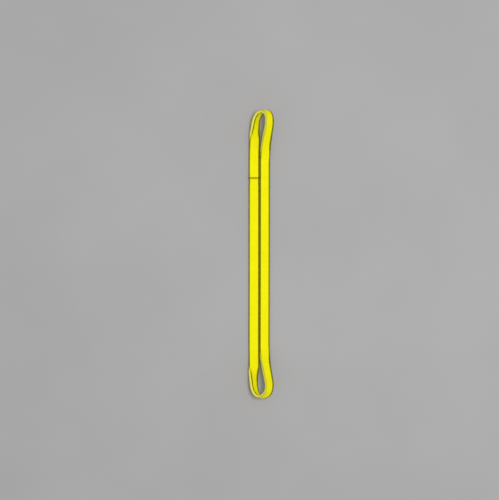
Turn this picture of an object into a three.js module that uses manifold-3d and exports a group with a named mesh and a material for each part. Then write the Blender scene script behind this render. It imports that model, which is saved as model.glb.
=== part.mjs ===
// Endless polyester round sling, laid flat: its two legs lie side by side along Y, and at each end the
// band rises, leans and turns back over itself as an open eye. A tubular woven sleeve holds a core of
// parallel yarn turns that carry the load. Millimetres, +Z up, floor at z = 0.
//
// The band folds at three lines across it: at mid length and beside each eye. The sleeve and the core
// are divided there, so that each eye and each half is a rigid piece of its own.

import * as THREE from 'three';
import { mergeVertices } from 'three/addons/utils/BufferGeometryUtils.js';
import Module from 'manifold-3d';

const wasm = await Module();
wasm.setup();

// ---- Driving dimensions -------------------------------------------------------------------------

const EYE_REACH = 722; // from mid length to the reference line that the eye stations count back from
const HINGE_Y = 443; // fold line beside each eye
const GAP = 0.3; // clearance between touching pieces
const HALF_GAP = GAP / 2;

// The soft band is a little flatter on one leg than on the other. Widths and thicknesses are outer ones.
const LEFT_LEG = { width: 55, thickness: 13 };
const RIGHT_LEG = { width: 51, thickness: 14 };
const EYE = { width: 54, thickness: 14 };
const SLEEVE_WALL = 1.2;

// Centre of each leg across the floor, at the bottom fold, mid length and the top fold.
const LEFT_X = { [-HINGE_Y]: -29.3, 0: -28.6, [HINGE_Y]: -28.3 };
const RIGHT_X = { [-HINGE_Y]: 24.4, 0: 25.4, [HINGE_Y]: 25.9 };

// Closing seam: the lower end of the sleeve is tucked into the upper end and sewn across the band.
const SEAM = { start: 373, end: 399, lift: 1.5, tuckWidth: 53, rampStart: 345, rampEnd: 420 };
const SEAM_ROWS = [382, 387.5];
const THREAD_RADIUS = 0.6;

// Core: parallel turns of polyester yarn, side by side, tied at two places.
const TURNS = 5;
const TURN_PITCH = 9.4;
const TURN_HALF_WIDTH = 4.5;
const TURN_HALF_HEIGHT = 4.3;
const TURN_SIDES = 6;
const TIE = { length: 25, thickness: 0.4, places: { lower: -250, upper: 150 } };

// Identification label, sewn flat on the outside of the left leg, which lies downwards.
const LABEL = { centreY: 287, length: 90, width: 36, thickness: 0.5, edging: 1.2 };

// Centreline of each eye, from the left leg round to the right leg:
// [across, back from the eye's reference line, height, lean of the band in degrees, and how far its
// section has changed from the leg's to the eye's, 0 to 1]. The skew turns the band on edge at the bight.
// The first and last stations lie on the fold line, and the band meets both legs there square on.
const FOLD_BACK = EYE_REACH - HINGE_Y - HALF_GAP;
const TOP_EYE = {
  end: 1,
  skew: -5,
  stations: [
    [-28.3, FOLD_BACK, 6.5, 0, 0], [-28.3, 250, 6.7, 0, 0], [-28, 215, 7.6, 1, 0.05],
    [-27.3, 180, 10, 5, 0.1], [-26.2, 145, 15, 12, 0.25], [-25.5, 112, 21, 26, 0.6],
    [-23, 84, 28, 41, 0.9], [-19.5, 55, 37, 47, 1], [-12, 31.5, 48, 48, 1], [1.5, 13.5, 64, 48, 1],
    [18.5, 8, 79, 48, 1], [33, 12, 90, 47, 1], [42.5, 24, 96, 46, 1], [47, 42, 98, 44, 1],
    [47.5, 64, 96, 40, 1], [45.5, 87, 89, 37, 1], [41, 113, 78, 33, 0.9], [36, 142, 62, 28, 0.8],
    [31, 176, 42.5, 20, 0.6], [28.3, 210, 24, 9, 0.3], [26.5, 240, 11, 3, 0.1], [25.9, 262, 7.7, 0, 0],
    [25.9, FOLD_BACK, 7, 0, 0],
  ],
};
const BOTTOM_EYE = {
  end: -1,
  skew: -11,
  stations: [
    [-29.3, FOLD_BACK, 6.5, 0, 0], [-29.2, 240, 6.7, 0, 0], [-28.9, 205, 7.6, 1, 0.05],
    [-28.8, 172, 10, 5, 0.1], [-30.3, 139, 16, 19, 0.4], [-31.5, 108, 23, 35, 0.8],
    [-30.5, 78, 31, 44, 1], [-27.5, 50, 39, 48, 1], [-19, 27, 50, 48, 1], [-3.5, 11.5, 64, 48, 1],
    [15.5, 11, 79, 48, 1], [31, 22, 90, 47, 1], [41, 36, 96, 46, 1], [46, 54, 98, 44, 1],
    [47, 75, 96, 40, 1], [44, 97, 88, 36, 1], [39, 125, 76, 33, 0.9], [33, 157, 58, 28, 0.8],
    [28.5, 191, 37, 20, 0.6], [25.5, 222, 18.8, 9, 0.3], [24.4, 247, 9, 2, 0.1], [24.4, 264, 7.3, 0, 0],
    [24.4, FOLD_BACK, 7, 0, 0],
  ],
};
const EYE_STEPS = 42;
const ROUND_STEPS = 5; // facets in each rounded edge of the band

// ---- Materials ----------------------------------------------------------------------------------

const MATERIALS = {
  sleeve: { color: 0xf6e80c, roughness: 0.75, metalness: 0 },
  core: { color: 0xe9e6da, roughness: 0.8, metalness: 0 },
  tie: { color: 0xd8d4c4, roughness: 0.6, metalness: 0 },
  thread: { color: 0x55530a, roughness: 0.7, metalness: 0 },
  label: { color: 0x1f4f9c, roughness: 0.5, metalness: 0 },
  edging: { color: 0xe8e8e4, roughness: 0.7, metalness: 0 },
};

// ---- Places along the band ----------------------------------------------------------------------

// A place is a cross-section: its centre, the unit vector across the band from its near edge to its
// far edge, the unit vector through its thickness, and its outer size.

function legPlace(leg, xAt, y, lift = 0) {
  const outer = xAt[Math.sign(y) * HINGE_Y] ?? xAt[0];
  const x = THREE.MathUtils.lerp(xAt[0], outer, Math.abs(y) / HINGE_Y);
  return {
    centre: new THREE.Vector3(x, y, leg.thickness / 2 + lift),
    across: new THREE.Vector3(1, 0, 0),
    through: new THREE.Vector3(0, 0, 1),
    width: leg.width,
    thickness: leg.thickness,
  };
}

// The left leg rises a little over the closing seam, where the sleeve is double.
function seamLift(y) {
  const rise = THREE.MathUtils.clamp((y - SEAM.rampStart) / (SEAM.start - 3 - SEAM.rampStart), 0, 1);
  const fall = THREE.MathUtils.clamp((SEAM.rampEnd - y) / (SEAM.rampEnd - SEAM.end), 0, 1);
  return SEAM.lift * Math.min(rise, fall);
}

const leftPlace = (y) => legPlace(LEFT_LEG, LEFT_X, y, seamLift(y));
const rightPlace = (y) => legPlace(RIGHT_LEG, RIGHT_X, y);

function eyePlaces(eye) {
  const points = [];
  const shapes = [];
  for (const [x, back, z, lean, fullness] of eye.stations) {
    points.push(new THREE.Vector3(x, eye.end * (EYE_REACH - back), z));
    shapes.push(new THREE.Vector3(THREE.MathUtils.degToRad(lean), fullness, 0));
  }
  const route = new THREE.CatmullRomCurve3(points, false, 'catmullrom', 0.5);
  const shaping = new THREE.CatmullRomCurve3(shapes, false, 'catmullrom', 0.5);

  const places = [];
  for (let step = 0; step <= EYE_STEPS; step++) {
    const t = step / EYE_STEPS;
    const along = route.getTangent(t);
    if (step === 0) along.set(0, eye.end, 0);
    if (step === EYE_STEPS) along.set(0, -eye.end, 0);
    const { x: lean, y: bulge } = shaping.getPoint(t);
    const fullness = THREE.MathUtils.clamp(bulge, 0, 1);
    const skew = THREE.MathUtils.degToRad(eye.skew) * fullness;
    const across = new THREE.Vector3(
      Math.cos(lean) * Math.cos(skew),
      -eye.end * Math.sin(skew),
      -Math.sin(lean) * Math.cos(skew),
    );
    across.addScaledVector(along, -across.dot(along)).normalize();
    const through = across.clone().cross(along).multiplyScalar(eye.end);
    const leg = t < 0.5 ? LEFT_LEG : RIGHT_LEG;
    places.push({
      centre: route.getPoint(t),
      across,
      through,
      width: THREE.MathUtils.lerp(leg.width, EYE.width, fullness),
      thickness: THREE.MathUtils.lerp(leg.thickness, EYE.thickness, fullness),
    });
  }
  return places;
}

// ---- Solids -------------------------------------------------------------------------------------

function pointAt(place, across, through) {
  return place.centre.clone().addScaledVector(place.across, across).addScaledVector(place.through, through);
}

// Outline of the band: flat faces and round edges, set in from the outer size by `inset`.
function bandOutline(place, inset = 0) {
  const radius = place.thickness / 2 - inset;
  const flat = place.width / 2 - inset - radius;
  const outline = [];
  for (const side of [1, -1]) {
    for (let step = 0; step <= ROUND_STEPS; step++) {
      const angle = Math.PI * (step / ROUND_STEPS - 0.5);
      outline.push(pointAt(place, side * (flat + radius * Math.cos(angle)), side * radius * Math.sin(angle)));
    }
  }
  return outline;
}

function turnOutline(place, offset) {
  const outline = [];
  for (let side = 0; side < TURN_SIDES; side++) {
    const angle = (2 * Math.PI * side) / TURN_SIDES;
    const across = offset + TURN_HALF_WIDTH * Math.cos(angle);
    outline.push(pointAt(place, across, TURN_HALF_HEIGHT * Math.sin(angle)));
  }
  return outline;
}

// Joins rings of equal length into a closed surface. A closed chain of rings needs no end caps.
function joinRings(rings, isClosedChain) {
  const size = rings[0].length;
  const faces = [];
  const chain = isClosedChain ? rings.length : rings.length - 1;
  for (let i = 0; i < chain; i++) {
    const here = i * size;
    const next = ((i + 1) % rings.length) * size;
    for (let j = 0; j < size; j++) {
      const k = (j + 1) % size;
      faces.push(here + j, here + k, next + k, here + j, next + k, next + j);
    }
  }
  if (!isClosedChain) {
    const last = (rings.length - 1) * size;
    for (let j = 1; j < size - 1; j++) {
      faces.push(0, j + 1, j, last, last + j, last + j + 1);
    }
  }
  const geometry = new THREE.BufferGeometry().setFromPoints(rings.flat());
  geometry.setIndex(faces);
  return facingOut(geometry);
}

function facingOut(geometry) {
  const { position } = geometry.attributes;
  const index = geometry.index.array;
  const corner = [0, 1, 2].map(() => new THREE.Vector3());
  let volume = 0;
  for (let i = 0; i < index.length; i += 3) {
    corner.forEach((point, k) => point.fromBufferAttribute(position, index[i + k]));
    volume += corner[0].dot(corner[1].clone().cross(corner[2]));
  }
  if (volume < 0) geometry.setIndex(Array.from(index).reverse());
  return geometry;
}

// A length of sleeve: an open tube with a wall of even thickness.
function sleeve(places) {
  const outside = places.map((place) => bandOutline(place));
  const inside = places.map((place) => bandOutline(place, SLEEVE_WALL));
  return joinRings([...outside, ...inside.reverse()], true);
}

function turn(places, offset) {
  return joinRings(places.map((place) => turnOutline(place, offset)), false);
}

function toSolid(geometry) {
  const bare = geometry.clone();
  bare.deleteAttribute('normal');
  bare.deleteAttribute('uv');
  const merged = mergeVertices(bare, 1e-4);
  return new wasm.Manifold(new wasm.Mesh({
    numProp: 3,
    vertProperties: new Float32Array(merged.attributes.position.array),
    triVerts: new Uint32Array(merged.index.array),
  }));
}

function subtract(geometry, cutter) {
  const { vertProperties, triVerts } = toSolid(geometry).subtract(toSolid(cutter)).getMesh();
  const cut = new THREE.BufferGeometry();
  cut.setAttribute('position', new THREE.BufferAttribute(vertProperties, 3));
  cut.setIndex(new THREE.BufferAttribute(triVerts, 1));
  return cut;
}

// ---- Sleeve -------------------------------------------------------------------------------------

const FOLD = HINGE_Y - HALF_GAP;
const topEyePlaces = eyePlaces(TOP_EYE);
const bottomEyePlaces = eyePlaces(BOTTOM_EYE);

function tuckedPlaces() {
  const tucked = [SEAM.start - 3, SEAM.end - 2].map((y) => ({ ...leftPlace(y), width: SEAM.tuckWidth }));
  return [leftPlace(HALF_GAP), leftPlace(SEAM.rampStart), ...tucked];
}

function coveringPlaces() {
  const growth = 2 * (SLEEVE_WALL + GAP);
  const doubled = [SEAM.start, SEAM.end].map((y) => ({
    ...leftPlace(y),
    width: SEAM.tuckWidth + growth,
    thickness: LEFT_LEG.thickness + growth,
  }));
  return [...doubled, leftPlace(SEAM.rampEnd), leftPlace(FOLD)];
}

function labelPocket() {
  const border = 2 * (LABEL.edging + 2 * GAP);
  const depth = LABEL.thickness + GAP;
  const pocket = new THREE.BoxGeometry(LABEL.width + border, LABEL.length + border, 2 * depth);
  return pocket.translate(leftPlace(LABEL.centreY).centre.x, LABEL.centreY, 0);
}

const sleeves = {
  sleeve_left_lower: sleeve([leftPlace(-FOLD), leftPlace(-HALF_GAP)]),
  sleeve_left_upper: subtract(sleeve(tuckedPlaces()), labelPocket()),
  sleeve_left_seam_end: sleeve(coveringPlaces()),
  sleeve_right_lower: sleeve([rightPlace(-FOLD), rightPlace(-HALF_GAP)]),
  sleeve_right_upper: sleeve([rightPlace(HALF_GAP), rightPlace(FOLD)]),
  sleeve_top_eye: sleeve(topEyePlaces),
  sleeve_bottom_eye: sleeve(bottomEyePlaces),
};

// ---- Core ---------------------------------------------------------------------------------------

function coreTurns() {
  const upperLeft = [HALF_GAP, SEAM.rampStart, SEAM.start - 3, SEAM.end, SEAM.rampEnd, FOLD];
  const stretches = {
    left_lower: [leftPlace(-FOLD), leftPlace(-HALF_GAP)],
    left_upper: upperLeft.map(leftPlace),
    right_lower: [rightPlace(-FOLD), rightPlace(-HALF_GAP)],
    right_upper: [rightPlace(HALF_GAP), rightPlace(FOLD)],
    top_eye: topEyePlaces,
    bottom_eye: bottomEyePlaces,
  };
  const turns = {};
  for (let i = 0; i < TURNS; i++) {
    const offset = (i - (TURNS - 1) / 2) * TURN_PITCH;
    for (const [name, places] of Object.entries(stretches)) {
      turns[`core_turn_${i + 1}_${name}`] = turn(places, offset);
    }
  }
  return turns;
}

// A tie is a turn of flat tape round all the yarn, inside the sleeve of the left leg.
function coreTie(y) {
  const halfWidth = ((TURNS - 1) / 2) * TURN_PITCH + TURN_HALF_WIDTH + GAP + TIE.thickness;
  const halfHeight = TURN_HALF_HEIGHT + GAP + TIE.thickness;
  const places = [y - TIE.length / 2, y + TIE.length / 2].map((end) => ({
    ...leftPlace(end),
    width: 2 * halfWidth,
    thickness: 2 * halfHeight,
  }));
  const outside = places.map((place) => bandOutline(place));
  const inside = places.map((place) => bandOutline(place, TIE.thickness));
  return joinRings([...outside, ...inside.reverse()], true);
}

// ---- Seam thread and label ----------------------------------------------------------------------

// A row of sewing over the doubled sleeve, from one rounded edge across the flat to the other.
function seamRow(y) {
  const place = leftPlace(y);
  const radius = LEFT_LEG.thickness / 2 + SLEEVE_WALL + GAP;
  const flat = SEAM.tuckWidth / 2 + SLEEVE_WALL + GAP - radius;
  const reach = radius + GAP + THREAD_RADIUS;
  const points = [];
  for (const angle of [20, 45, 70]) {
    const turned = THREE.MathUtils.degToRad(angle);
    points.push(pointAt(place, -flat - reach * Math.cos(turned), reach * Math.sin(turned)));
  }
  points.push(pointAt(place, -flat, reach), pointAt(place, 0, reach), pointAt(place, flat, reach));
  const turned = THREE.MathUtils.degToRad(65);
  points.push(pointAt(place, flat + reach * Math.cos(turned), reach * Math.sin(turned)));
  const section = new THREE.Shape().absarc(0, 0, THREAD_RADIUS, 0, 2 * Math.PI);
  const route = new THREE.CatmullRomCurve3(points);
  return new THREE.ExtrudeGeometry(section, { steps: 18, extrudePath: route, curveSegments: 6 });
}

function rectangle(ShapeClass, width, length) {
  const outline = new ShapeClass();
  outline.moveTo(-width / 2, -length / 2);
  outline.lineTo(width / 2, -length / 2);
  outline.lineTo(width / 2, length / 2);
  outline.lineTo(-width / 2, length / 2);
  outline.closePath();
  return outline;
}

function labelEdging() {
  const border = 2 * (LABEL.edging + GAP);
  const frame = rectangle(THREE.Shape, LABEL.width + border, LABEL.length + border);
  frame.holes.push(rectangle(THREE.Path, LABEL.width + 2 * GAP, LABEL.length + 2 * GAP));
  return new THREE.ExtrudeGeometry(frame, { depth: LABEL.thickness, bevelEnabled: false });
}

function labelPlate() {
  const plate = rectangle(THREE.Shape, LABEL.width, LABEL.length);
  return new THREE.ExtrudeGeometry(plate, { depth: LABEL.thickness, bevelEnabled: false });
}

const labelX = leftPlace(LABEL.centreY).centre.x;

// ---- Assembly -----------------------------------------------------------------------------------

const sling = new THREE.Group();

function addPiece(name, geometry, finish) {
  const mesh = new THREE.Mesh(geometry, new THREE.MeshStandardMaterial(MATERIALS[finish]));
  mesh.name = name;
  sling.add(mesh);
  return mesh;
}

for (const [name, geometry] of Object.entries(sleeves)) addPiece(name, geometry, 'sleeve');
for (const [name, geometry] of Object.entries(coreTurns())) addPiece(name, geometry, 'core');
for (const [name, y] of Object.entries(TIE.places)) addPiece(`core_tie_${name}`, coreTie(y), 'tie');
SEAM_ROWS.forEach((y, row) => addPiece(`closing_seam_row_${row + 1}`, seamRow(y), 'thread'));
addPiece('label', labelPlate(), 'label').position.set(labelX, LABEL.centreY, 0);
addPiece('label_edging', labelEdging(), 'edging').position.set(labelX, LABEL.centreY, 0);

// The origin is the middle of the sling's footprint, on the floor.
const middle = new THREE.Box3().setFromObject(sling).getCenter(new THREE.Vector3());
sling.position.set(-middle.x, -middle.y, 0);

export default sling;
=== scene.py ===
"""Looks of a yellow endless round sling, laid flat on a pale floor and seen from straight above.

The sleeve, its core, the closing seam and the label are built here as fine meshes round the same
centreline as the CAD model's, and each one stands for the plain CAD solids of that piece.
"""

import math

import bpy
import numpy as np
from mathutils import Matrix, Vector


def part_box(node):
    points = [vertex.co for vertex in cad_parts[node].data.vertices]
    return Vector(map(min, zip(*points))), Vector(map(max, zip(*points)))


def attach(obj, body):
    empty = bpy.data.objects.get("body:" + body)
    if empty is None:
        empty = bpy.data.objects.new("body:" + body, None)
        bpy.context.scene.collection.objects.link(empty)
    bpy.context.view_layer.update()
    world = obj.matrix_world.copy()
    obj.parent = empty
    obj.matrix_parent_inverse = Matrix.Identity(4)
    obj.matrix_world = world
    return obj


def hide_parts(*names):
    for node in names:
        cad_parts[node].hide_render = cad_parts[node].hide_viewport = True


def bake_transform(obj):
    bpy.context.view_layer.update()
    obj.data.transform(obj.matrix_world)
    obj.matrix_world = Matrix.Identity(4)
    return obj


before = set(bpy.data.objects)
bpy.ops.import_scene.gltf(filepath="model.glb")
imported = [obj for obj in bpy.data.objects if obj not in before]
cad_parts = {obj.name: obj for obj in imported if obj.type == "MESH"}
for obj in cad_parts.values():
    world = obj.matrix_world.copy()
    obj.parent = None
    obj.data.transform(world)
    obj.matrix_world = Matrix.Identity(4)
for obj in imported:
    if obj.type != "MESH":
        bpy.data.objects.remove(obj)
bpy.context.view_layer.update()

MM = 0.001

# ---- Dimensions shared with the CAD source, in millimetres ---------------------------------------

EYE_REACH = 722
HINGE_Y = 443
LEFT_LEG = {"width": 55, "thickness": 13}
RIGHT_LEG = {"width": 51, "thickness": 14}
EYE = {"width": 54, "thickness": 14}
LEFT_X = (-29.3, -28.6, -28.3)  # at the bottom fold, mid length and the top fold
RIGHT_X = (24.4, 25.4, 25.9)
SEAM = {"start": 373, "end": 399, "lift": 1.5, "tuck_width": 53, "ramp_start": 345, "ramp_end": 420}
SEAM_ROWS = (382, 387.5)
TURNS, TURN_PITCH, TURN_RADIUS = 5, 9.4, 4.3
LABEL = {"y": 287, "length": 90, "width": 36}
FOLD_HEIGHT = 14

# Stations of each eye, from the left leg round to the right leg: across, back from the eye's
# reference line, height, lean in degrees, fullness.
FOLD_BACK = EYE_REACH - HINGE_Y
TOP_EYE = [
    (-28.3, FOLD_BACK, 6.5, 0, 0), (-28.3, 250, 6.7, 0, 0), (-28, 215, 7.6, 1, 0.05),
    (-27.3, 180, 10, 5, 0.1), (-26.2, 145, 15, 12, 0.25), (-25.5, 112, 21, 26, 0.6),
    (-23, 84, 28, 41, 0.9), (-19.5, 55, 37, 47, 1), (-12, 31.5, 48, 48, 1), (1.5, 13.5, 64, 48, 1),
    (18.5, 8, 79, 48, 1), (33, 12, 90, 47, 1), (42.5, 24, 96, 46, 1), (47, 42, 98, 44, 1),
    (47.5, 64, 96, 40, 1), (45.5, 87, 89, 37, 1), (41, 113, 78, 33, 0.9), (36, 142, 62, 28, 0.8),
    (31, 176, 42.5, 20, 0.6), (28.3, 210, 24, 9, 0.3), (26.5, 240, 11, 3, 0.1),
    (25.9, 262, 7.7, 0, 0), (25.9, FOLD_BACK, 7, 0, 0),
]
BOTTOM_EYE = [
    (-29.3, FOLD_BACK, 6.5, 0, 0), (-29.2, 240, 6.7, 0, 0), (-28.9, 205, 7.6, 1, 0.05),
    (-28.8, 172, 10, 5, 0.1), (-30.3, 139, 16, 19, 0.4), (-31.5, 108, 23, 35, 0.8),
    (-30.5, 78, 31, 44, 1), (-27.5, 50, 39, 48, 1), (-19, 27, 50, 48, 1), (-3.5, 11.5, 64, 48, 1),
    (15.5, 11, 79, 48, 1), (31, 22, 90, 47, 1), (41, 36, 96, 46, 1), (46, 54, 98, 44, 1),
    (47, 75, 96, 40, 1), (44, 97, 88, 36, 1), (39, 125, 76, 33, 0.9), (33, 157, 58, 28, 0.8),
    (28.5, 191, 37, 20, 0.6), (25.5, 222, 18.8, 9, 0.3), (24.4, 247, 9, 2, 0.1),
    (24.4, 264, 7.3, 0, 0), (24.4, FOLD_BACK, 7, 0, 0),
]
TOP_SKEW, BOTTOM_SKEW = -5, -11  # degrees

# The row's origin is the middle of the footprint, so the route moves by what the CAD's left leg shows.
low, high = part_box("sleeve_left_lower")
SHIFT_X = (low.x + high.x) / 2 / MM - (LEFT_X[0] + LEFT_X[1]) / 2
SHIFT_Y = (low.y + high.y) / 2 / MM + HINGE_Y / 2

# ---- Where the visible pieces meet, and how they bend --------------------------------------------

CUT_Y = 395  # the sleeve's pieces meet here on the legs, beyond every fold
BEND_REACH = 35  # a fold reaches this far to each side of its hinge line


# ---- The centreline ------------------------------------------------------------------------------

def spline(stations, per_span=24):
    """Points of the uniform Catmull-Rom curve through the stations, with the ends run straight on."""
    knots = np.array(stations, float)
    knots = np.vstack([2 * knots[0] - knots[1], knots, 2 * knots[-1] - knots[-2]])
    t = np.arange(per_span)[:, None] / per_span
    spans = []
    for a, b, c, d in zip(knots, knots[1:], knots[2:], knots[3:]):
        spans.append(0.5 * (2 * b + (c - a) * t + (2 * a - 5 * b + 4 * c - d) * t**2
                            + (3 * b - a - 3 * c + d) * t**3))
    return np.vstack([*spans, knots[-2:-1]])


def eye_route(stations, end, skew, flip):
    """Rows of x, y, z, lean, skew, fullness, and how far round from the left leg to the right."""
    curve = spline(stations)
    full = np.clip(curve[:, 4], 0, 1)
    part = np.linspace(0, 1, len(curve))
    rows = np.column_stack([
        curve[:, 0], end * (EYE_REACH - curve[:, 1]), curve[:, 2], np.radians(curve[:, 3]),
        end * math.radians(skew) * full, full, part,
    ])
    return rows[::-1] if flip else rows


def leg_route(ys, xs, height, side):
    y = np.array(ys, float)
    x = np.interp(y, (-HINGE_Y, 0, HINGE_Y), xs)
    blank = np.zeros_like(y)
    return np.column_stack([x, y, blank + height, blank, blank, blank, blank + side])


class Loop:
    """The sling's closed centreline: up the left leg, over the top eye, down the right leg and back."""

    def __init__(self):
        up = np.linspace(-HINGE_Y, HINGE_Y, 400)[1:-1]
        rows = np.vstack([
            leg_route(up, LEFT_X, LEFT_LEG["thickness"] / 2, 0),
            eye_route(TOP_EYE, 1, TOP_SKEW, False),
            leg_route(up[::-1], RIGHT_X, RIGHT_LEG["thickness"] / 2, 1),
            eye_route(BOTTOM_EYE, -1, BOTTOM_SKEW, True),
        ])
        rows = np.vstack([rows, rows[:1]])
        step = np.linalg.norm(np.diff(rows[:, :3], axis=0), axis=1)
        self.s = np.concatenate([[0], np.cumsum(step)])
        self.length = self.s[-1]
        self.rows = rows
        self.left = up[0], 0.0
        leg = len(up)
        self.right_top = self.s[leg + len(eye_route(TOP_EYE, 1, 0, False))]
        self.right_top_y = up[-1]

    def on_left(self, y):
        return y - self.left[0]

    def on_right(self, y):
        return self.right_top + (self.right_top_y - y) * self.slant()

    def slant(self):
        """Length along the right leg per length of Y, which is just over one."""
        drop = 2 * self.right_top_y
        rows = leg_route((-self.right_top_y, 0, self.right_top_y), RIGHT_X, 0, 1)
        return np.linalg.norm(np.diff(rows[:, :3], axis=0), axis=1).sum() / drop

    def at(self, s):
        s = np.mod(s, self.length)
        return np.column_stack([np.interp(s, self.s, column) for column in self.rows.T])

    def places(self, s):
        """Centre, along, across (near edge to far edge), inner-face normal, width, thickness."""
        rows = self.at(s)
        probe = 1.5
        along = self.at(s + probe)[:, :3] - self.at(s - probe)[:, :3]
        along /= np.linalg.norm(along, axis=1)[:, None]
        lean, skew, full, side = rows[:, 3:7].T
        across = np.column_stack([
            np.cos(lean) * np.cos(skew), -np.sin(skew), -np.sin(lean) * np.cos(skew)])
        across -= (across * along).sum(1)[:, None] * along
        across /= np.linalg.norm(across, axis=1)[:, None]
        inner = np.cross(across, along)
        side = np.clip((side - 0.4) / 0.2, 0, 1)
        leg = {k: LEFT_LEG[k] + (RIGHT_LEG[k] - LEFT_LEG[k]) * side for k in LEFT_LEG}
        width, thickness = (leg[k] + (EYE[k] - leg[k]) * full for k in ("width", "thickness"))
        centre = rows[:, :3] + np.array([SHIFT_X, SHIFT_Y, 0])
        return {"centre": centre, "along": along, "across": across, "inner": inner,
                "width": width, "thickness": thickness, "full": full, "s": s,
                "y": rows[:, 1], "is_left": rows[:, 0] < 0}


loop = Loop()


def smooth(x, start, end):
    t = np.clip((x - start) / (end - start), 0, 1)
    return t * t * (3 - 2 * t)


def near(x, middle, reach):
    return np.exp(-(((x - middle) / reach) ** 2))


def ripple(seed, s, p, count, wave, rings=3):
    """Smooth noise of s, in millimetres, and of the angle p round the band, from a few sine waves."""
    random = np.random.default_rng(seed)
    total = np.zeros(np.broadcast(s, p).shape)
    for _ in range(count):
        pitch = wave * random.uniform(0.6, 1.7)
        turn = random.integers(-rings, rings + 1)
        total += np.sin(2 * np.pi * s / pitch + turn * p + random.uniform(0, 2 * np.pi))
    return total / math.sqrt(count)


# ---- Sleeve --------------------------------------------------------------------------------------

AROUND = 72  # points round each ring
RING_STEP = 3.0
CORNER = 0.42  # corner radius of the band's section, as a share of its thickness
CLOTH = 1.0  # thickness of the cloth
SET_IN = 0.35  # how far the cloth starts inside the plain outline, so that its relief can stand on it
CROWN = 0.5  # how much fuller the flat faces are in the middle

# Heights of the cloth's relief: over the core's turns, its lumps, the folds crushed into the inside of
# a bend, the slanting folds of a twist, and small unevenness.
TURN_RELIEF, LUMP_RELIEF, CRUSH_RELIEF, SLANT_RELIEF, SMALL_RELIEF = 0.2, 0.3, 1.5, 0.4, 0.16
CRUSH_PITCH, SLANT_PITCH = 13.5, 26


def section(width, thickness):
    """Points of the band's rounded outline, with their normals and the distance round it."""
    a, b = width / 2, thickness / 2
    r = CORNER * thickness
    quarter = np.pi / 2 * r
    flat_u, flat_v = 2 * (a - r), 2 * (b - r)
    total = 2 * (flat_u + flat_v) + 4 * quarter
    points, normals, marks = [], [], []
    for j in range(AROUND):
        d = (j / AROUND) * total
        marks.append(d)
        for k in range(4):
            straight = (flat_v, flat_u)[k % 2]
            turn = k * np.pi / 2
            out = np.array([math.cos(turn), math.sin(turn)])
            go = np.array([-math.sin(turn), math.cos(turn)])
            middle = out * (a, b)[k % 2]
            if d <= straight:
                points.append(middle + go * (d - straight / 2))
                normals.append(out)
                break
            d -= straight
            if d <= quarter:
                angle = d / r
                hub = middle + go * straight / 2 - out * r
                bent = out * math.cos(angle) + go * math.sin(angle)
                points.append(hub + bent * r)
                normals.append(bent)
                break
            d -= quarter
    return np.array(points), np.array(normals), np.array(marks)


def wrinkles(places, u, v, angle):
    """Height of the cloth over the plain outline, from its folds and the core's turns, in mm."""
    s = places["s"][:, None]
    full = places["full"][:, None]
    half = places["width"][:, None] / 2
    across = u / half
    face = np.clip(1 - np.abs(across) ** 6, 0, 1)
    inner = smooth(v, 0, 3)
    bend = places["bend"][:, None]
    turns = np.cos(2 * np.pi * u / TURN_PITCH) * face * (1 + 0.8 * ripple(3, s, angle, 5, 90))
    lumps = ripple(5, s, angle, 9, 85) * (0.35 + 0.65 * face)
    phase = 2 * np.pi * s / CRUSH_PITCH + 1.6 * ripple(7, s, 0, 5, 70) + 1.1 * across
    crush = (0.5 + 0.5 * np.sin(phase)) ** 1.5
    crush = crush * bend * inner * np.clip(1 - across**4, 0, 1)
    crush *= 0.65 + 0.35 * ripple(11, s, angle, 4, 45)
    slant = np.sin(2 * np.pi * (s + 0.9 * u) / SLANT_PITCH + ripple(13, s, angle, 4, 90))
    slant = slant * np.abs(places["twist"])[:, None] * face
    small = ripple(17, s, angle, 10, 22, rings=9) * (0.6 + full)
    return (TURN_RELIEF * turns + LUMP_RELIEF * lumps - CRUSH_RELIEF * crush
            + SLANT_RELIEF * slant + SMALL_RELIEF * small)


def with_bends(places):
    """Adds how hard the centreline bends and twists at each place, from 0 to 1."""
    ds = np.gradient(places["s"])
    bend = np.linalg.norm(np.gradient(places["along"], axis=0), axis=1) / ds
    roll = (np.gradient(places["across"], axis=0) * places["inner"]).sum(1) / ds
    places["bend"] = np.clip((bend - 0.006) / 0.014, 0, 1)
    places["twist"] = np.clip(roll / 0.006, -1, 1)
    return places


LABEL_X, LABEL_Y = SHIFT_X + LEFT_X[2], SHIFT_Y + LABEL["y"]
LABEL_RISE = 1.05  # how far the cloth lies off the floor over the label
RISE_START, RISE_END = 4.5, 1.8  # the cloth climbs between these distances outside the label's edge
SOFT_PRESS = 0.35  # rounding of the cloth where it meets what it lies on
PRESS_REACH = 3


def floor_under(x, y):
    """Height that the cloth is pressed up to: the floor, or the top of the label."""
    half_w, half_l = LABEL["width"] / 2, LABEL["length"] / 2
    over = smooth(-np.abs(x - LABEL_X), -half_w - RISE_START, -half_w - RISE_END)
    over = over * smooth(-np.abs(y - LABEL_Y), -half_l - RISE_START, -half_l - RISE_END)
    return LABEL_RISE * over


def rest_on_floor(points):
    """Presses the cloth flat where it lies on the floor or the label."""
    gap = points[..., 2] - floor_under(points[..., 0], points[..., 1])
    rounded = SOFT_PRESS * np.logaddexp(0, gap / SOFT_PRESS)
    pressed = np.where(gap < PRESS_REACH, rounded, gap)
    points[..., 2] += np.minimum(pressed, np.maximum(gap, 0) + SOFT_PRESS) - gap
    return points


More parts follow.
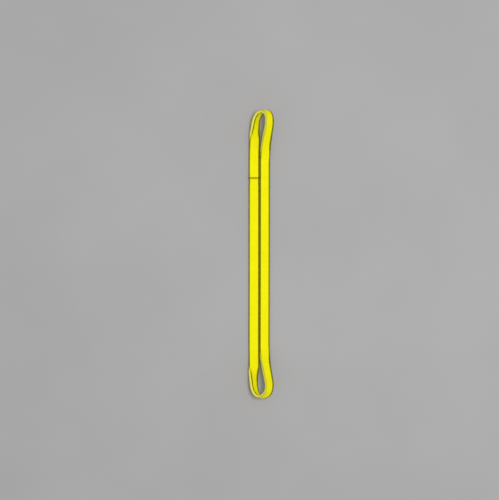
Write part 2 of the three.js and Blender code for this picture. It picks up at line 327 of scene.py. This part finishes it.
def seam_shape(places, is_cover):
    """Size and lift of the doubled sleeve at the closing seam."""
    y, left = places["y"], places["is_left"]
    rise = smooth(y, SEAM["ramp_start"], SEAM["start"] - 3)
    fall = 1 - smooth(y, SEAM["end"], SEAM["ramp_end"])
    amount = np.where(left, np.minimum(rise, fall), 0)
    places["centre"][:, 2] += SEAM["lift"] * amount
    growth = SEAM["lift"] * 2 if is_cover else 0
    width = SEAM["tuck_width"] + growth - 0.6
    places["width"] += (width - places["width"]) * amount
    places["thickness"] += (growth - (0.6 if is_cover else 0.9)) * amount
    return places


def sewing_pull(y, is_cover, is_left):
    """The hem stands proud at the cover's end, and each row of sewing draws the cloth in."""
    pull = np.zeros_like(y)
    if is_cover:
        pull += 0.45 * near(y, SEAM["start"] + 2.5, 2.4)
        for row in SEAM_ROWS:
            pull -= 0.7 * near(y, row, 1.5)
        pull += 0.25 * near(y, sum(SEAM_ROWS) / 2, 1.6)
    return pull * is_left


def fold_line(places, u, v):
    """Where the cloth is folded hard along the near edge of an eye, from 0 to 1; it places the painted
    shade in that fold.
    """
    from_edge = u + places["width"][:, None] / 2
    inner_fold = smooth(from_edge, 3.5, 7.5) * (1 - smooth(from_edge, 11, 16))
    folded = np.where(v > 0, inner_fold, 0.6 * near(from_edge, 2.6, 2.4))
    return folded * smooth(places["full"], 0.25, 0.8)[:, None]


def seam_groove_shade(places, is_cover):
    """How much painted shade darkens the cloth in the groove that the two rows of sewing pull in, from 0
    to 1.
    """
    edge_shade_breakup = smooth(places["y"], SEAM_ROWS[0] - 3.5, SEAM_ROWS[0] - 1.5)
    edge_shade_breakup *= 1 - smooth(places["y"], SEAM_ROWS[1] + 1.5, SEAM_ROWS[1] + 3.5)
    return np.repeat((edge_shade_breakup * places["is_left"] * is_cover)[:, None], AROUND, 1)


def ring_stations(start, end, extra=()):
    count = max(2, round((end - start) / RING_STEP))
    return np.unique(np.concatenate([np.linspace(start, end, count + 1), np.array(extra, float)]))


def sleeve_mesh(name, s, is_cover=False):
    places = with_bends(seam_shape(loop.places(s), is_cover))
    outline = [section(w, t) for w, t in zip(places["width"], places["thickness"])]
    uv = np.array([o[0] for o in outline])
    normal = np.array([o[1] for o in outline])
    marks = np.array([o[2] for o in outline])
    u, v = uv[..., 0], uv[..., 1]
    angle = 2 * np.pi * np.arange(AROUND)[None, :] / AROUND
    height = wrinkles(places, u, v, angle)
    pucker = np.sin(angle * 17 + 0.7) * 0.28 + np.sin(angle * 29 + 2) * 0.15
    near_seam = places["is_left"] * near(places["y"], sum(SEAM_ROWS) / 2, 14)
    height = height * (1 - 0.5 * near_seam[:, None]) + pucker * near_seam[:, None]
    height += sewing_pull(places["y"], is_cover, places["is_left"])[:, None]
    half_width = places["width"][:, None] / 2
    half_thickness = places["thickness"][:, None] / 2
    crown = CROWN * np.clip(1 - (u / half_width) ** 2, 0, 1)
    height += crown * (np.abs(v) > 1)
    centre, across, inner = (places[k][:, None] for k in ("centre", "across", "inner"))

    def lift(offset):
        at_u = (u + normal[..., 0] * offset)[..., None]
        at_v = (v + normal[..., 1] * offset)[..., None]
        return centre + across * at_u + inner * at_v

    outside = rest_on_floor(lift(height - SET_IN))
    inside = lift(height * 0.6 - CLOTH - SET_IN)
    inside[..., 2] = np.maximum(inside[..., 2], floor_under(inside[..., 0], inside[..., 1]) + CLOTH)
    facts = {
        "along": np.repeat(s[:, None], AROUND, 1),
        "around": marks,
        "round": marks[:, -1:] * AROUND / (AROUND - 1),
        "across": u / half_width,
        "through": v / half_thickness,
        "full": np.repeat(places["full"][:, None], AROUND, 1),
        # crease and seam place the painted shade in the eyes' folds and in the sewn groove.
        "crease": fold_line(places, u, v),
        "seam": seam_groove_shade(places, is_cover),
    }
    return tube_shell(name, outside, inside, facts)


def tube_shell(name, outside, inside, facts):
    """A sleeve with a real wall, closed round both of its ends, and its weave coordinates."""
    rings, around = outside.shape[:2]
    vertices = np.concatenate([outside.reshape(-1, 3), inside.reshape(-1, 3)]) * MM
    i, j = np.meshgrid(np.arange(rings - 1), np.arange(around), indexing="ij")
    k = (j + 1) % around
    here, next_ = i * around, (i + 1) * around
    outer = np.stack([here + j, next_ + j, next_ + k, here + k], -1).reshape(-1, 4)
    base = rings * around
    inner = outer[:, ::-1] + base
    j = np.arange(around)
    k = (j + 1) % around
    last = (rings - 1) * around
    first_rim = np.stack([j, k, base + k, base + j], -1)
    last_rim = np.stack([last + k, last + j, base + last + j, base + last + k], -1)
    faces = np.concatenate([outer, inner, first_rim, last_rim])

    mesh = bpy.data.meshes.new(name)
    mesh.from_pydata(vertices.tolist(), [], faces.tolist())
    mesh.polygons.foreach_set("use_smooth", np.ones(len(faces), bool))
    sharpen_rings(mesh, [0, last, base, base + last], around)
    corner = faces.reshape(-1)
    ring_place = corner % base
    column = ring_place % around
    around_mm = facts["around"].reshape(-1)[ring_place]
    quads = column.reshape(-1, 4)
    wraps = (quads.max(1) == around - 1) & (quads.min(1) == 0)
    full_round = np.repeat(facts["round"], around, 1).reshape(-1)[ring_place]
    around_mm = np.where(np.repeat(wraps, 4) & (column == 0), full_round, around_mm)

    def at_corners(fact):
        return facts[fact].reshape(-1)[ring_place]

    blank = np.zeros(len(corner))
    store(mesh, "band", at_corners("along") * MM, around_mm * MM, blank)
    store(mesh, "lie", at_corners("across"), at_corners("through"), at_corners("full"))
    store(mesh, "marks", at_corners("crease"), at_corners("seam"), blank)
    mesh.validate()
    mesh.update()
    return add_object(name, mesh)


def store(mesh, name, *columns):
    """Keeps three numbers for each face corner, where the materials find them."""
    vectors = np.column_stack(columns).astype(np.float32)
    mesh.attributes.new(name, "FLOAT_VECTOR", "CORNER").data.foreach_set("vector", vectors.reshape(-1))


def sharpen_rings(mesh, starts, around):
    """Keeps the rings that start at those vertices crisp, so the shading runs straight over a join."""
    pairs = np.zeros(2 * len(mesh.edges), int)
    mesh.edges.foreach_get("vertices", pairs)
    ring = (pairs - pairs % around).reshape(-1, 2)
    is_end = (ring[:, 0] == ring[:, 1]) & np.isin(ring[:, 0], starts)
    mesh.attributes.new("sharp_edge", "BOOLEAN", "EDGE").data.foreach_set("value", is_end)


def add_object(name, mesh):
    piece = bpy.data.objects.new(name, mesh)
    bpy.context.scene.collection.objects.link(piece)
    return piece


# ---- Threads and yarn ----------------------------------------------------------------------------

def swept_tubes(name, routes, sides=8):
    """One mesh of closed round tubes. Each route is a list of points and a list of radii, in mm."""
    vertices, faces = [], []
    for points, radii in routes:
        points = np.asarray(points, float)
        along = np.gradient(points, axis=0)
        along /= np.linalg.norm(along, axis=1)[:, None]
        guide = np.array([0.0, 0.0, 1.0])
        if abs(along[0] @ guide) > 0.9:
            guide = np.array([1.0, 0.0, 0.0])
        start = len(vertices)
        for point, way, radius in zip(points, along, radii):
            side = np.cross(way, guide)
            side /= np.linalg.norm(side)
            up = np.cross(side, way)
            guide = up
            for k in range(sides):
                angle = 2 * np.pi * k / sides
                vertices.append((point + radius * (side * math.cos(angle) + up * math.sin(angle))) * MM)
        for i in range(len(points) - 1):
            a, b = start + i * sides, start + (i + 1) * sides
            for k in range(sides):
                n = (k + 1) % sides
                faces.append((a + k, a + n, b + n, b + k))
        faces.append(tuple(start + k for k in reversed(range(sides))))
        last = start + (len(points) - 1) * sides
        faces.append(tuple(last + k for k in range(sides)))
    mesh = bpy.data.meshes.new(name)
    mesh.from_pydata([tuple(v) for v in vertices], [], faces)
    mesh.polygons.foreach_set("use_smooth", np.ones(len(faces), bool))
    mesh.validate()
    mesh.update()
    return add_object(name, mesh)


def core_mesh(name, start, end):
    s = np.linspace(start, end, max(2, round((end - start) / 9)))
    places = seam_shape(loop.places(s), False)
    routes = []
    for i in range(TURNS):
        offset = (i - (TURNS - 1) / 2) * TURN_PITCH
        squeeze = 0.97 + 0.02 * np.sin(s / 31 + i)
        points = places["centre"] + places["across"] * offset
        routes.append((points, TURN_RADIUS * squeeze))
    return swept_tubes(name, routes, 10)


STITCH = {"length": 11.6, "gap": 2.6, "radius": 1.05}


def seam_stitches(name, y):
    """Long running stitches right round the doubled sleeve, each one dipping into the cloth."""
    place = seam_shape(loop.places(np.array([loop.on_left(y)])), True)
    points, normals, marks = section(place["width"][0], place["thickness"][0])
    total = marks[-1] * AROUND / (AROUND - 1)
    centre, across, inner = place["centre"][0], place["across"][0], place["inner"][0]
    closed = np.append(marks, total)
    wrapped = np.vstack([points, points[:1]])
    turned = np.vstack([normals, normals[:1]])
    pitch = STITCH["length"] + STITCH["gap"]
    count = int(total // pitch)
    spare = total / count - STITCH["length"]
    middle = total / 4  # about the middle of the upper face
    routes = []
    for k in range(count):
        start = middle + (k + 0.5) * (STITCH["length"] + spare) - STITCH["length"] / 2
        t = np.linspace(0, 1, 11)
        d = np.mod(start + t * STITCH["length"], total)
        place_uv = np.column_stack([np.interp(d, closed, wrapped[:, i]) for i in (0, 1)])
        out = np.column_stack([np.interp(d, closed, turned[:, i]) for i in (0, 1)])
        rise = -1.6 + 1.75 * np.clip(np.sin(np.pi * t) * 1.9, 0, 1)
        at = place_uv + out * rise[:, None]
        path = centre + at[:, :1] * across + at[:, 1:] * inner
        path[:, 1] += 0.35 * np.sin(np.pi * t * 2 + k)
        if path[:, 2].min() < 0.5:
            path[:, 2] = np.maximum(path[:, 2], STITCH["radius"])
        routes.append((path, STITCH["radius"] * (0.55 + 0.45 * np.clip(np.sin(np.pi * t) * 2.2, 0, 1))))
    return swept_tubes(name, routes)


# ---- Label ---------------------------------------------------------------------------------------

LABEL_LOW, LABEL_HIGH = 0.3, 0.62  # heights of the label's two faces
LABEL_CORNER = 3
LABEL_EDGE_SOFTNESS = 0.08
WHIP_PITCH, WHIP_RADIUS = 3.2, 0.25


def label_outline():
    hub_x, hub_y = LABEL["width"] / 2 - LABEL_CORNER, LABEL["length"] / 2 - LABEL_CORNER
    outline = []
    for k, (sx, sy) in enumerate(((1, 1), (-1, 1), (-1, -1), (1, -1))):
        for t in np.linspace(0, np.pi / 2, 6):
            angle = k * np.pi / 2 + t
            outline.append((sx * hub_x + LABEL_CORNER * math.cos(angle),
                            sy * hub_y + LABEL_CORNER * math.sin(angle)))
    return np.array(outline)


def label_mesh(name):
    """The label's cloth: a thin plate with rounded corners and a finely divided lower face."""
    outline = label_outline()
    rings = [outline * f for f in (1.0, 0.985, 0.93, 0.8, 0.55, 0.25)]
    count = len(outline)
    vertices = []
    for z in (LABEL_LOW, LABEL_HIGH):
        for k, ring in enumerate(rings):
            soft = LABEL_EDGE_SOFTNESS if k == 0 else 0.0
            height = z + (soft if z == LABEL_LOW else -soft)
            vertices += [(LABEL_X + x, LABEL_Y + y, height) for x, y in ring]
        vertices.append((LABEL_X, LABEL_Y, z))
    vertices = np.array(vertices) * MM
    half = len(rings) * count + 1
    faces = []
    for base, turn in ((0, -1), (half, 1)):
        for r in range(len(rings) - 1):
            for j in range(count):
                k = (j + 1) % count
                quad = (base + r * count + j, base + r * count + k,
                        base + (r + 1) * count + k, base + (r + 1) * count + j)
                faces.append(quad[::turn])
        hub = base + half - 1
        for j in range(count):
            k = (j + 1) % count
            last = base + (len(rings) - 1) * count
            faces.append((last + j, last + k, hub)[::turn])
    for j in range(count):
        k = (j + 1) % count
        faces.append((j, k, half + k, half + j))
    mesh = bpy.data.meshes.new(name)
    mesh.from_pydata(vertices.tolist(), [], faces)
    mesh.validate()
    mesh.update()
    return add_object(name, mesh)


def label_stitches(name):
    """Short whip stitches over the label's edge, all the way round."""
    closed = np.vstack([label_outline(), label_outline()[:1]])
    walk = np.concatenate([[0], np.cumsum(np.linalg.norm(np.diff(closed, axis=0), axis=1))])
    routes = []
    for d in np.arange(1, walk[-1] - 1, WHIP_PITCH):
        here = np.array([np.interp(d, walk, closed[:, i]) for i in (0, 1)])
        ahead = np.array([np.interp(d + 1.0, walk, closed[:, i]) for i in (0, 1)])
        way = (ahead - here) / np.linalg.norm(ahead - here)
        out = np.array([way[1], -way[0]])
        t = np.linspace(-1, 1, 7)
        flat = here + out * (t * 1.5 - 0.4)[:, None] + way * (t * 0.5)[:, None]
        z = WHIP_RADIUS + 0.01 + 0.25 * np.abs(t) ** 3
        path = np.column_stack([LABEL_X + flat[:, 0], LABEL_Y + flat[:, 1], z])
        routes.append((path, np.full(len(path), WHIP_RADIUS)))
    return swept_tubes(name, routes, 6)


# ---- Materials -----------------------------------------------------------------------------------

class Nodes:
    """A short way to write a material's node tree."""

    def __init__(self, name):
        self.material = bpy.data.materials.new(name)
        self.material.use_nodes = True
        self.tree = self.material.node_tree
        self.tree.nodes.clear()
        self.shader = self.tree.nodes.new("ShaderNodeBsdfPrincipled")
        output = self.tree.nodes.new("ShaderNodeOutputMaterial")
        self.tree.links.new(self.shader.outputs[0], output.inputs[0])

    def put(self, socket, value):
        if isinstance(value, bpy.types.NodeSocket):
            self.tree.links.new(value, socket)
        else:
            socket.default_value = value

    def set(self, **values):
        for key, value in values.items():
            self.put(self.shader.inputs[key.replace("_", " ")], value)

    def math(self, operation, a, b=0.0, c=0.0, clamp=False):
        node = self.tree.nodes.new("ShaderNodeMath")
        node.operation = operation
        node.use_clamp = clamp
        for socket, value in zip(node.inputs, (a, b, c)):
            self.put(socket, value)
        return node.outputs[0]

    def attribute(self, name):
        node = self.tree.nodes.new("ShaderNodeAttribute")
        node.attribute_name = name
        split = self.tree.nodes.new("ShaderNodeSeparateXYZ")
        self.tree.links.new(node.outputs["Vector"], split.inputs[0])
        return node.outputs["Vector"], *split.outputs

    def place(self):
        node = self.tree.nodes.new("ShaderNodeTexCoord")
        split = self.tree.nodes.new("ShaderNodeSeparateXYZ")
        self.tree.links.new(node.outputs["Object"], split.inputs[0])
        return node.outputs["Object"], *split.outputs

    def stretch(self, vector, x, y, z):
        node = self.tree.nodes.new("ShaderNodeVectorMath")
        node.operation = "MULTIPLY"
        self.put(node.inputs[0], vector)
        node.inputs[1].default_value = (x, y, z)
        return node.outputs[0]

    def noise(self, vector, scale, detail=3.0, rough=0.55):
        node = self.tree.nodes.new("ShaderNodeTexNoise")
        self.put(node.inputs["Vector"], vector)
        node.inputs["Scale"].default_value = scale
        node.inputs["Detail"].default_value = detail
        node.inputs["Roughness"].default_value = rough
        return node.outputs["Fac"]

    def map(self, value, low, high, to_low=0.0, to_high=1.0):
        node = self.tree.nodes.new("ShaderNodeMapRange")
        node.interpolation_type = "SMOOTHSTEP"
        for socket, number in zip(node.inputs, (value, low, high, to_low, to_high)):
            self.put(socket, number)
        return node.outputs[0]

    def mix(self, factor, a, b, blend="MIX"):
        node = self.tree.nodes.new("ShaderNodeMix")
        node.data_type = "RGBA"
        node.blend_type = blend
        self.put(node.inputs["Factor"], factor)
        self.put(node.inputs[6], a)
        self.put(node.inputs[7], b)
        return node.outputs[2]

    def bump(self, height, distance, strength=1.0, normal=None):
        node = self.tree.nodes.new("ShaderNodeBump")
        node.inputs["Strength"].default_value = strength
        node.inputs["Distance"].default_value = distance
        self.put(node.inputs["Height"], height)
        if normal is not None:
            self.put(node.inputs["Normal"], normal)
        return node.outputs[0]

    def wave(self, value, pitch, phase=0.0):
        """A sine of the value with that pitch, from 0 to 1."""
        sine = self.math("SINE", self.math("MULTIPLY_ADD", value, 2 * math.pi / pitch, phase))
        return self.math("MULTIPLY_ADD", sine, 0.5, 0.5)


def rgb(red, green, blue):
    return (red, green, blue, 1.0)


WARP_PITCH, WEFT_PITCH, RIB_PITCH = 0.00155, 0.00125, 0.0047
# The fourth colour on these lines is painted shade for the hollows of the weave.
BRIGHT, DULL, FADED, WEAVE_HOLLOW_SHADE = (rgb(0.97, 0.94, 0.002), rgb(0.94, 0.885, 0.002), rgb(0.92, 0.83, 0.002),
                             rgb(0.66, 0.52, 0.0))
# Colours on this line: painted shade for the band's edges, a painted highlight for the near edge of the
# eyes, painted shade for the hard folds and painted shade for the sewn groove.
EDGE_SHADE, EDGE_HIGHLIGHT, FOLD_SHADE, SEAM_GROOVE_SHADE = (rgb(0.13, 0.125, 0.002), rgb(0.86, 0.84, 0.21),
                                         rgb(0.12, 0.115, 0.002), rgb(0.24, 0.22, 0.002))


def sleeve_material():
    """Close-woven bright yellow polyester, with painted shade on the band's shoulders, in the hollows of
    its weave, in its hard folds and along its sewn groove, and a painted highlight along the near edge of
    the eyes.
    """
    n = Nodes("yellow_sleeve")
    band, along, around, _ = n.attribute("band")
    _, across, through, full = n.attribute("lie")

    drift = n.noise(band, 38, 3)
    around_bent = n.math("ADD", around, n.math("MULTIPLY", drift, 0.0012))
    warp = n.wave(around_bent, WARP_PITCH)
    weft = n.wave(along, WEFT_PITCH)
    shifted = n.wave(along, WEFT_PITCH, math.pi)
    even = n.math("GREATER_THAN", n.wave(around_bent, 2 * WARP_PITCH), 0.5)
    over = n.math("ADD", n.math("MULTIPLY", even, weft),
                  n.math("MULTIPLY", n.math("SUBTRACT", 1.0, even), shifted))
    cloth = n.math("MULTIPLY", n.math("POWER", warp, 0.6), n.math("MULTIPLY_ADD", over, 0.55, 0.45))
    ribs = n.wave(around_bent, RIB_PITCH)
    fibre = n.noise(n.stretch(band, 160, 2600, 1), 1, 2)
    height = n.math("ADD", cloth, n.math("MULTIPLY", ribs, 0.7))
    height = n.math("ADD", height, n.math("MULTIPLY", fibre, 0.25))

    _, crease, seam_groove_shade, _ = n.attribute("marks")
    # Painted shade: the rounded edges and shoulders of the band turn dark olive, standing in for the
    # shade on the sides that face away from the light.
    near_edge = n.map(across, -0.68, -0.87)
    in_eye = n.map(full, 0.15, 0.7)
    side = n.math("MULTIPLY", near_edge, n.math("SUBTRACT", 1.0, in_eye))
    far_edge = n.map(n.math("ADD", across, n.math("MULTIPLY", in_eye, 0.2)), 0.66, 0.82)
    shoulder = n.map(n.math("ABSOLUTE", through), 0.2, 0.75, 0.5, 1.0)
    side = n.math("MULTIPLY", n.math("MAXIMUM", side, far_edge), shoulder)
    # Painted highlight: a pale strip on the near edge of the band in the eyes, standing in for the light
    # on that edge.
    edge_highlight = n.math("MULTIPLY", n.map(across, -0.86, -0.93), in_eye)
    blotch = n.noise(band, 14, 4, 0.6)
    streak = n.noise(n.stretch(band, 9, 190, 1), 1, 3)
    colour = n.mix(n.map(blotch, 0.35, 0.7), DULL, BRIGHT)
    colour = n.mix(n.map(streak, 0.3, 0.75, 0.0, 0.35), colour, FADED)
    # Painted shade: the weave's hollows turn darker and deeper yellow, so its ridges read lighter.
    colour = n.mix(n.map(height, 0.15, 0.75, 0.26, 0.0), colour, WEAVE_HOLLOW_SHADE)
    # Uneven strength of the painted edge shade.
    edge_shade_breakup = n.map(n.noise(band, 60, 4), 0.3, 0.7, 0.88, 1.0)
    colour = n.mix(n.math("MULTIPLY", side, edge_shade_breakup), colour, EDGE_SHADE)
    # Mixes in the painted highlight along the near edge of the eyes.
    colour = n.mix(n.math("MULTIPLY", edge_highlight, 0.65), colour, EDGE_HIGHLIGHT)
    # Painted shade in the hard folds along the near edge of the eyes.
    colour = n.mix(n.math("MULTIPLY", crease, 0.9), colour, FOLD_SHADE)
    # Painted shade in the groove between and under the two rows of sewing.
    colour = n.mix(n.math("MULTIPLY", seam_groove_shade, 0.5), colour, SEAM_GROOVE_SHADE)
    rough = n.map(n.math("ADD", cloth, n.math("MULTIPLY", blotch, 0.5)), 0.2, 1.2, 0.8, 0.6)
    n.set(Base_Color=colour, Roughness=rough, Specular_IOR_Level=0.06, Sheen_Weight=0.03,
          Sheen_Roughness=0.45, Normal=n.bump(height, 0.00035, 0.8))
    return n.material


def yarn_material():
    """Untwisted polyester yarn: silky off-white filaments along each turn."""
    n = Nodes("core_yarn")
    place, *_ = n.place()
    strands = n.noise(n.stretch(place, 900, 35, 900), 1, 3)
    colour = n.mix(n.map(strands, 0.3, 0.7), rgb(0.66, 0.64, 0.56), rgb(0.86, 0.85, 0.79))
    rough = n.map(strands, 0.3, 0.7, 0.65, 0.4)
    n.set(Base_Color=colour, Roughness=rough, Sheen_Weight=0.3, Normal=n.bump(strands, 0.0006, 0.8))
    return n.material


def tape_material():
    """Thin woven tape round the core."""
    n = Nodes("tie_tape")
    _, x, y, _ = n.place()
    weave = n.math("MULTIPLY", n.wave(x, 0.0011), n.wave(y, 0.0011))
    colour = n.mix(weave, rgb(0.52, 0.48, 0.38), rgb(0.74, 0.71, 0.60))
    n.set(Base_Color=colour, Roughness=0.7, Normal=n.bump(weave, 0.0002, 0.7))
    return n.material


def thread_material(name, dark, light):
    """Bonded thread with a twist, seen as fine slanting bands."""
    n = Nodes(name)
    place, x, y, z = n.place()
    slant = n.math("ADD", x, n.math("ADD", y, z))
    twist = n.wave(slant, 0.0013)
    speck = n.noise(place, 900, 2)
    colour = n.mix(n.math("MULTIPLY", twist, n.map(speck, 0.25, 0.75, 0.5, 1.0)), dark, light)
    n.set(Base_Color=colour, Roughness=n.map(speck, 0.3, 0.7, 0.5, 0.75), Specular_IOR_Level=0.3,
          Normal=n.bump(twist, 0.0003, 0.8))
    return n.material


FRAME_HALF_WIDTH, FRAME_HALF_LENGTH, FRAME_LINE, ROW_PITCH = 0.0135, 0.0385, 0.0006, 0.0126


def label_material():
    """Blue coated label cloth with a plain printed frame and blank rows, and no wording."""
    n = Nodes("blue_label")
    place, x, y, _ = n.place()
    across = n.math("ABSOLUTE", n.math("SUBTRACT", x, LABEL_X * MM))
    along = n.math("ABSOLUTE", n.math("SUBTRACT", y, LABEL_Y * MM))
    weave = n.math("MULTIPLY", n.wave(x, 0.0008), n.wave(y, 0.0008))

    def within(inset):
        half_w, half_l = FRAME_HALF_WIDTH - inset, FRAME_HALF_LENGTH - inset
        return n.math("MULTIPLY", n.math("LESS_THAN", across, half_w), n.math("LESS_THAN", along, half_l))

    inner = within(FRAME_LINE)
    border = n.math("SUBTRACT", within(0), inner)
    rows = n.math("MULTIPLY", inner, n.math("LESS_THAN", n.wave(y, ROW_PITCH), 0.012))
    print_ = n.math("ADD", border, rows, clamp=True)
    scuff = n.noise(place, 260, 4)
    blue = n.mix(n.map(scuff, 0.35, 0.75), rgb(0.012, 0.075, 0.33), rgb(0.03, 0.12, 0.42))
    colour = n.mix(n.math("MULTIPLY", print_, 0.85), blue, rgb(0.75, 0.78, 0.82))
    n.set(Base_Color=colour, Roughness=n.map(scuff, 0.3, 0.7, 0.38, 0.6),
          Normal=n.bump(weave, 0.00015, 0.5))
    return n.material


def finish_with(piece, material):
    piece.data.materials.clear()
    piece.data.materials.append(material)


# ---- The object ----------------------------------------------------------------------------------

YELLOW = sleeve_material()
YARN = yarn_material()
DARK_THREAD = thread_material("seam_thread", rgb(0.05, 0.045, 0.004), rgb(0.16, 0.145, 0.012))
WHITE_THREAD = thread_material("label_thread", rgb(0.55, 0.55, 0.52), rgb(0.82, 0.82, 0.8))


def fold(y, sign=1):
    """Start and end of the bend across the fold at y, towards the part that lifts."""
    at = SHIFT_Y + y
    return ((0, (at - sign * BEND_REACH) * MM, FOLD_HEIGHT * MM),
            (0, (at + sign * BEND_REACH) * MM, FOLD_HEIGHT * MM))


def stretches():
    """Each divided length of the sling: its name, start, end, bodies, bend, and the CAD legs in it."""
    whole = loop.length
    return [
        ("left_middle", loop.on_left(-CUT_Y), loop.on_left(SEAM["end"] - 2),
         ("lower_half", "upper_half"), fold(0), ["left_lower", "left_upper"]),
        ("top", loop.on_left(SEAM["start"]), loop.on_right(CUT_Y), ("upper_half", "top_eye"),
         fold(HINGE_Y), ["top_eye"]),
        ("right_middle", loop.on_right(CUT_Y), loop.on_right(-CUT_Y), ("lower_half", "upper_half"),
         fold(0), ["right_lower", "right_upper"]),
        ("bottom", loop.on_right(-CUT_Y), whole + loop.on_left(-CUT_Y), ("lower_half", "bottom_eye"),
         fold(-HINGE_Y, -1), ["bottom_eye"]),
    ]


HEM_RINGS = (375, 377, 380, 384.7, 390, 392)  # closer rings over the hem and between the sewn rows


def add_sleeves_and_core():
    for name, start, end, bodies, bend, legs in stretches():
        is_cover = name == "top"
        extra = [loop.on_left(y) for y in (*SEAM_ROWS, *HEM_RINGS)] if is_cover else []
        cover = sleeve_mesh(f"sleeve_{name}", ring_stations(start, end, extra), is_cover)
        finish_with(cover, YELLOW)
        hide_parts(*[f"sleeve_{leg}" for leg in legs])
        if is_cover:
            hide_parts("sleeve_left_seam_end")
            start = loop.on_left(SEAM["end"])
        core = core_mesh(f"core_{name}", start, end)
        finish_with(core, YARN)
        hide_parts(*[f"core_turn_{i + 1}_{leg}" for leg in legs for i in range(TURNS)])
        for piece in (cover, core):
            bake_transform(piece)


def add_seam_and_label():
    for row, y in enumerate(SEAM_ROWS):
        stitches = seam_stitches(f"closing_stitches_{row + 1}", y)
        finish_with(stitches, DARK_THREAD)
        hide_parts(f"closing_seam_row_{row + 1}")
        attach(stitches, "upper_half")
    label = label_mesh("identification_label")
    finish_with(label, label_material())
    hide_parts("label")
    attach(label, "upper_half")
    border = label_stitches("label_whip_stitches")
    finish_with(border, WHITE_THREAD)
    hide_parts("label_edging")
    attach(border, "upper_half")


def dress_ties():
    tape = tape_material()
    for name in ("core_tie_lower", "core_tie_upper"):
        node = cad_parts[name]
        node.data.materials.clear()
        node.data.materials.append(tape)


# ---- Floor, light and camera ---------------------------------------------------------------------

FLOOR_SIZE = 60.0
LENS, SENSOR = 85.0, 36.0
FRAME_HEIGHT = 2.53  # metres of floor from the picture's bottom to its top
CAMERA_X, CAMERA_Y = -0.0579, 0.0219
FLOOR_DROP = 0.0003  # keeps the floor just clear of the cloth that lies on it
WORLD_STRENGTH = 0.52
KEY_LIGHT = {"place": (1.35, 0.5, 7.7), "target": (0, 0, 0), "size": 2.2, "watts": 315}


def add_floor():
    n = Nodes("pale_floor")
    place, *_ = n.place()
    cloud = n.noise(place, 1.3, 3)
    grain = n.noise(place, 420, 2)
    colour = n.mix(n.map(cloud, 0.3, 0.7), rgb(0.405, 0.400, 0.402), rgb(0.425, 0.420, 0.422))
    n.set(Base_Color=colour, Roughness=0.92, Specular_IOR_Level=0.05, Normal=n.bump(grain, 0.0002, 0.3))
    half = FLOOR_SIZE / 2
    mesh = bpy.data.meshes.new("floor")
    mesh.from_pydata([(-half, -half, 0), (half, -half, 0), (half, half, 0), (-half, half, 0)], [],
                     [(0, 1, 2, 3)])
    mesh.materials.append(n.material)
    floor = add_object("floor", mesh)
    floor.location.z = -FLOOR_DROP


def add_area_light(name, place, target, size, watts):
    data = bpy.data.lights.new(name, "AREA")
    data.shape = "DISK"
    data.size = size
    data.energy = watts
    light = bpy.data.objects.new(name, data)
    light.location = place
    way = Vector(target) - Vector(place)
    light.rotation_euler = way.to_track_quat("-Z", "Y").to_euler()
    bpy.context.scene.collection.objects.link(light)


def add_light():
    world = bpy.data.worlds.new("studio")
    world.use_nodes = True
    background = world.node_tree.nodes["Background"]
    background.inputs["Color"].default_value = rgb(1, 1, 1)
    background.inputs["Strength"].default_value = WORLD_STRENGTH
    bpy.context.scene.world = world
    add_area_light("key", **KEY_LIGHT)


def add_camera():
    data = bpy.data.cameras.new("camera")
    data.lens = LENS
    data.sensor_width = SENSOR
    camera = bpy.data.objects.new("camera", data)
    camera.location = (CAMERA_X, CAMERA_Y, FRAME_HEIGHT * LENS / SENSOR)
    bpy.context.scene.collection.objects.link(camera)
    bpy.context.scene.camera = camera
    bpy.context.scene.view_settings.view_transform = "Standard"


add_camera()
add_sleeves_and_core()
add_seam_and_label()
dress_ties()
add_floor()
add_light()
